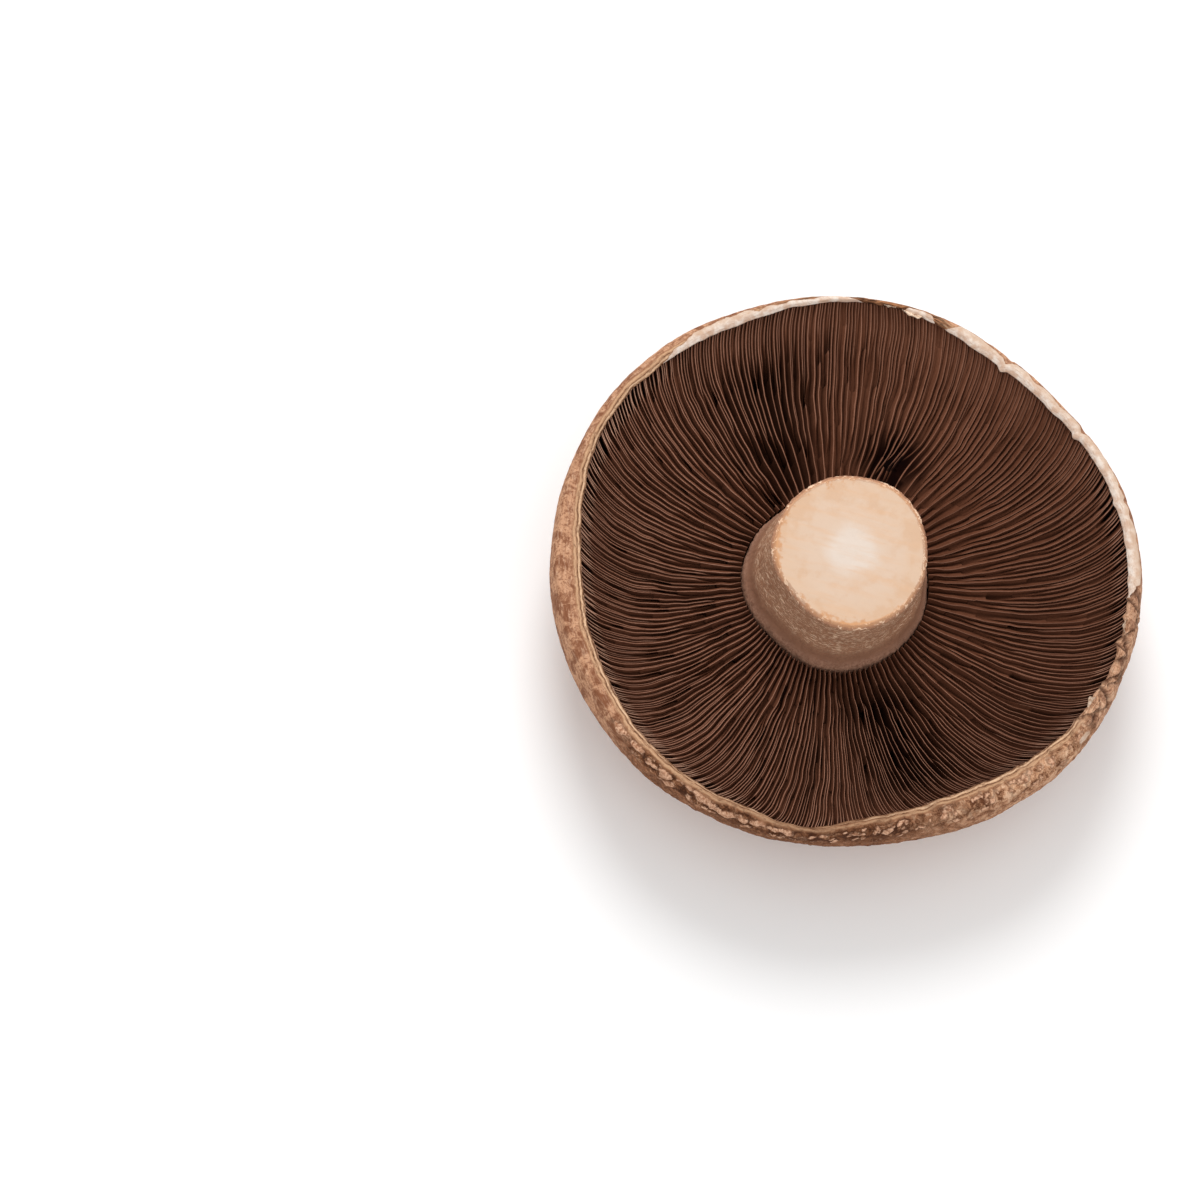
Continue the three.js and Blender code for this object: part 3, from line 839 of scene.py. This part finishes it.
def shred(direction, length, reach, curl, seed):
    """A thin ragged strip along the lip, from direction onwards, that curls back over itself."""
    columns, rows, thickness = 25, 9, 0.22
    along = np.linspace(0, 1, columns)[None, :]
    up = np.linspace(0, 1, rows)[:, None]
    angle = math.radians(direction) + length * along / LIP_RADIUS
    outline = np.sin(math.pi * along) ** 0.6
    ragged = 0.75 + 0.5 * noise(xyz(along * 6, 0.5, 0.5), seed)
    size = reach * outline * ragged
    turn = curl * up
    outwards = 0.25 * noise(xyz(along * 5, up * 2, 0.5), seed + 1) * up - size * np.sin(turn) / curl
    rise = 0.3 + size * (1 - np.cos(turn)) / curl + 0.25 * size * up
    base = gill_point(1.0, angle, crest_height(1.0))
    sheets = []
    for offset in (0, thickness):
        place = base + xyz(np.cos(angle) * outwards, np.sin(angle) * outwards, rise - 0.15 - offset)
        sheets.append(place)
    corners = np.concatenate([sheet.reshape(-1, 3) for sheet in sheets])
    faces = []
    other = rows * columns
    for i in range(rows - 1):
        for j in range(columns - 1):
            a, b = i * columns + j, (i + 1) * columns + j
            faces.append((a, a + 1, b + 1, b))
            faces.append((other + a, other + b, other + b + 1, other + a + 1))
    border = [*range(columns), *range(2 * columns - 1, other, columns),
              *range(other - 2, other - columns - 1, -1), *range(other - 2 * columns, 0, -columns)]
    for a, b in zip(border, border[1:] + border[:1]):
        faces.append((b, a, other + a, other + b))
    return corners, faces


def shred_material():
    g = Graph("shred")
    at = g.place()
    fine = g.noise(at, 0.5, 4.0, 0.65)
    colour = g.mix(g.span(fine, 0.35, 0.65), (0.52, 0.34, 0.22), (0.84, 0.7, 0.56))
    colour = g.mix(g.span(g.noise(at, 1.1, 3.0), 0.58, 0.68), colour, (0.26, 0.12, 0.06))
    return g.finish(colour, g.bump(fine, 0.12, 0.6), 0.6, Specular_IOR_Level=0.2)


# The stem: a flared, felted foot, a fibrous side and the cut end.
STEM_SECTORS = 360
STEM_SIDE = [(-8.6, 17.8), (-1.0, 17.9), (0.4, 17.6), (1.4, 17.1), (2.6, 16.6), (4.0, 16.2),
             (6.0, 15.8), (9.0, 15.25), (13.0, 14.9), (16.3, 14.75)]
STEM_RINGS = 96
CUT_RINGS = 40
CUT_BEVEL = 0.45


def stem():
    angle = np.linspace(0, 2 * math.pi, STEM_SECTORS, endpoint=False)
    heights = np.array([h for h, _ in STEM_SIDE]) + CREST_FOOT
    radii = np.array([r for _, r in STEM_SIDE])
    top = STEM_TOP - CUT_BEVEL
    levels = heights[0] + (top - heights[0]) * (1 - (1 - np.linspace(0, 1, STEM_RINGS)) ** 1.5)
    rings, cut, up = [], [], []

    def middle(height):
        share = max(0.0, (height - CREST_FOOT) / (STEM_TOP - CREST_FOOT))
        return STEM_OFFSET + STEM_LEAN * share

    def add(height, radius, on_cut):
        x, y = middle(height)
        lobes = lobed(STEM_LOBES, angle) * radius / STEM_CUT
        grown = radius + np.where(radius > 2, lobes, lobes * radius / 2)
        rise = CUT_SLANT * grown * np.cos(angle - math.radians(CUT_TOWARDS))
        slant = rise * np.clip((height - CREST_FOOT - 3) / 12, 0, 1)
        rings.append(xyz(x + grown * np.cos(angle), y + grown * np.sin(angle), height + slant))
        cut.append(np.full(STEM_SECTORS, on_cut))
        up.append(np.full(STEM_SECTORS, height - CREST_FOOT))

    for level in levels:
        add(level, np.interp(level, heights, radii), 0.0)
    for share in (0.3, 0.65, 1.0):
        a = share * math.pi / 2
        add(top + CUT_BEVEL * math.sin(a), STEM_CUT - CUT_BEVEL * (1 - math.cos(a)), 0.5)
    for share in np.linspace(1, 0.02, CUT_RINGS)[1:]:
        add(STEM_TOP, (STEM_CUT - CUT_BEVEL) * share, 1.0)

    grid, cut, up = np.array(rings), np.array(cut), np.array(up)
    turn = np.broadcast_to(angle, cut.shape)
    out = xyz(np.cos(turn), np.sin(turn), 0)
    side = np.where(cut < 1, 1.0, 0.0)
    fibres = fractal(xyz(np.cos(turn) * 34, np.sin(turn) * 34, up / 3.2), 3, 41)
    felt = fractal(grid / 0.7, 2, 45) * np.exp(-np.clip(up, 0, 99) / 2.5)
    dents = noise(grid / 5, 48)
    moved = side * (0.12 * fibres + 0.14 * felt + 0.25 * dents)
    grid = grid + out * moved[..., None]
    grid[..., 2] += np.where(cut >= 1, 0.05 * noise(grid / 3, 51) + 0.03 * noise(grid / 0.8, 52), 0)
    corners = grid.reshape(-1, 3)
    faces = ring_faces(len(rings), STEM_SECTORS)
    last = (len(rings) - 1) * STEM_SECTORS
    seat, tip = len(corners), len(corners) + 1
    x, y = middle(heights[0])
    tip_place = [*middle(STEM_TOP), STEM_TOP]
    corners = np.vstack([corners, [[x, y, heights[0]], tip_place]])
    for i in range(STEM_SECTORS):
        j = (i + 1) % STEM_SECTORS
        faces += [(j, i, seat), (last + i, last + j, tip)]
    share = np.hypot(corners[:, 0] - tip_place[0], corners[:, 1] - tip_place[1]) / STEM_CUT
    turned = np.append(turn.ravel(), [0, 0])
    flat_up = np.append(up.ravel(), [heights[0] - CREST_FOOT, STEM_TOP - CREST_FOOT])
    tip_turn = np.arctan2(corners[:, 1] - tip_place[1], corners[:, 0] - tip_place[0])
    stained = [window(tip_turn, 165, 215, 12), window(tip_turn, 235, 300, 12),
               window(tip_turn, 100, 125, 8)]
    flecked = 0.35 + 0.65 * np.maximum.reduce(stained)
    attributes = {"cut": np.append(cut.ravel(), [0, 1]), "share": share, "up": flat_up,
                  "fleck": flecked,
                  "fibre": xyz(16 * np.cos(turned), 16 * np.sin(turned), flat_up * 5)}
    return corners, faces, attributes


def stem_material():
    g = Graph("stem")
    at = g.place()
    cut, share, up = g.attribute("cut"), g.attribute("share"), g.attribute("up")
    fleck = g.attribute("fleck")
    fibre = g.attribute("fibre", "Vector")
    strands = g.noise(fibre, 1.25, 2.5, 0.6, 0.8)
    fine = g.noise(at, 0.45, 4.0, 0.65)
    patches = g.noise(at, 5.0, 3.0)
    side = g.mix(patches, (0.39, 0.18, 0.098), (0.53, 0.28, 0.165))
    side = g.tint(side, (0.26, 0.12, 0.07), fine, 0.35, 0.65, 0.45)
    threads = g.times(g.span(strands, 0.55, 0.61), g.span(up, 2.8, 6.5))
    side = g.mix(g.times(threads, 0.9), side, (0.88, 0.62, 0.43))
    fold = g.mix(patches, (0.17, 0.075, 0.045), (0.25, 0.118, 0.074))
    side = g.tint(side, fold, up, 6.5, 2.5, 0.5)
    felt = g.mix(g.span(fine, 0.35, 0.65), (0.24, 0.115, 0.073), (0.48, 0.27, 0.185))
    low = g.math("ADD", up, g.times(patches, 2.0))
    side = g.tint(side, felt, low, 3.8, 1.2, 0.65)
    reach = g.math("ADD", share, g.times(g.math("SUBTRACT", patches, 0.5), 0.3))
    face = g.mix(g.span(reach, 0.2, 0.44), (0.68, 0.57, 0.485), (0.65, 0.48, 0.36))
    face = g.tint(face, (0.64, 0.44, 0.3), reach, 0.5, 0.9, 0.6)
    stained = g.times(g.span(g.noise(at, 4.5, 4.0), 0.48, 0.64), g.span(reach, 0.35, 0.6))
    face = g.mix(g.times(stained, 0.45), face, (0.6, 0.36, 0.21))
    strokes = g.noise(g.add("ShaderNodeVectorMath", {0: at, 1: (0.25, 1.6, 1.0)}, 0,
                            operation="MULTIPLY"), 2.6, 5.0, 0.6)
    face = g.tint(face, (0.66, 0.41, 0.25), strokes, 0.45, 0.72, 0.5)
    edge = g.math("ADD", share, g.times(g.math("SUBTRACT", g.noise(at, 1.3, 4.0), 0.5), 0.5))
    edge = g.math("ADD", edge, g.times(fleck, 0.1))
    face = g.tint(face, (0.55, 0.25, 0.1), edge, 1.01, 1.12, 0.75)
    face = g.tint(face, (0.62, 0.31, 0.14), share, 0.965, 0.99, 0.7)
    colour = g.mix(g.span(cut, 0.3, 0.7), side, face)
    rough = g.times(g.span(cut, 0.9, 0.3), strands)
    bump = g.bump(rough, 0.25, 0.6)
    bump = g.bump(fine, 0.06, 0.5, bump)
    return g.finish(colour, bump, 0.65, Specular_IOR_Level=0.25)


# Stage: a pale floor, soft light from behind, from above and from the near right, and the camera
FLOOR_SIZE = 6.0
FLOOR_GAP = 0.1


def stage():
    bpy.ops.mesh.primitive_plane_add(size=FLOOR_SIZE)
    floor = bpy.context.object
    floor.name = "floor"
    floor.location.z = -FLOOR_GAP * MM
    g = Graph("floor")
    tone = g.mix(g.noise(g.place(), 300.0), (0.95, 0.95, 0.95), (0.96, 0.96, 0.96))
    floor.data.materials.append(g.finish(tone, None, 0.9))


def area_light(name, azimuth, elevation, distance, size, power):
    """A round light that faces the mushroom, from a distance and with a size in metres."""
    data = bpy.data.lights.new(name, "AREA")
    data.shape = "DISK"
    data.size = size
    data.energy = power
    light = bpy.data.objects.new(name, data)
    bpy.context.scene.collection.objects.link(light)
    a, e = math.radians(azimuth), math.radians(elevation)
    away = Vector((math.cos(a) * math.cos(e), math.sin(a) * math.cos(e), math.sin(e)))
    light.location = Vector((0, 0, 0.02)) + away * distance
    light.rotation_mode = "QUATERNION"
    light.rotation_quaternion = away.to_track_quat("Z", "Y")


def camera():
    """The camera looks at the cap from the photo's angle and is turned so that the cap lies where
    the photo has it in the frame."""
    elevation, roll = math.radians(VIEW_ELEVATION), math.radians(VIEW_ROLL)
    ahead = Vector((0, math.cos(elevation), -math.sin(elevation)))
    across = Vector((1, 0, 0))
    above = Vector((0, math.sin(elevation), math.cos(elevation)))
    right = across * math.cos(roll) + above * math.sin(roll)
    up = above * math.cos(roll) - across * math.sin(roll)
    distance = PHOTO_SIZE * LENS / SENSOR / PX_PER_MM
    cap_centre = Vector((0, 0, CAP_WIDEST))
    place = cap_centre - ahead * distance
    off_right = (CAP_CENTRE_PX[0] - PHOTO_SIZE / 2) / PX_PER_MM
    off_up = (PHOTO_SIZE / 2 - CAP_CENTRE_PX[1]) / PX_PER_MM
    aim = cap_centre - right * off_right - up * off_up
    back = (place - aim).normalized()
    side = up.cross(back).normalized()
    over = back.cross(side)
    turned = Matrix((side, over, back)).transposed().to_4x4()
    data = bpy.data.cameras.new("camera")
    data.lens = LENS
    data.sensor_width = SENSOR
    made = bpy.data.objects.new("camera", data)
    bpy.context.scene.collection.objects.link(made)
    made.matrix_world = Matrix.Translation(place * MM) @ turned
    bpy.context.scene.camera = made


def light():
    world = bpy.data.worlds.new("world")
    world.use_nodes = True
    world.node_tree.nodes["Background"].inputs["Color"].default_value = (1, 1, 1, 1)
    world.node_tree.nodes["Background"].inputs["Strength"].default_value = 0.75
    bpy.context.scene.world = world
    bpy.context.scene.view_settings.view_transform = "Standard"
    area_light("key", azimuth=110, elevation=52, distance=0.7, size=0.35, power=2.7)
    area_light("overhead", azimuth=300, elevation=80, distance=0.8, size=0.6, power=0.5)
    area_light("fill", azimuth=315, elevation=32, distance=0.9, size=0.9, power=0.9)


camera()
light()
stage()
corners, groups, attributes = gills()
material = gill_material()
for i, faces in enumerate(groups):
    part = part_of(corners, faces, attributes)
    piece(f"gills_fine_{i + 1}", part[0], part[1], "gills", material, part[2])
corners, faces, attributes = cap()
piece("cap_fine", corners, faces, "cap", cap_material(), attributes)
material = shred_material()
for i, (direction, length, reach, curl, seed) in enumerate(SHREDS):
    corners, faces = shred(direction, length, reach, curl, seed)
    piece(f"shred_{i + 1}", corners, faces, "cap", material)
corners, faces, attributes = stem()
piece("stem_fine", corners, faces, "stem", stem_material(), attributes)
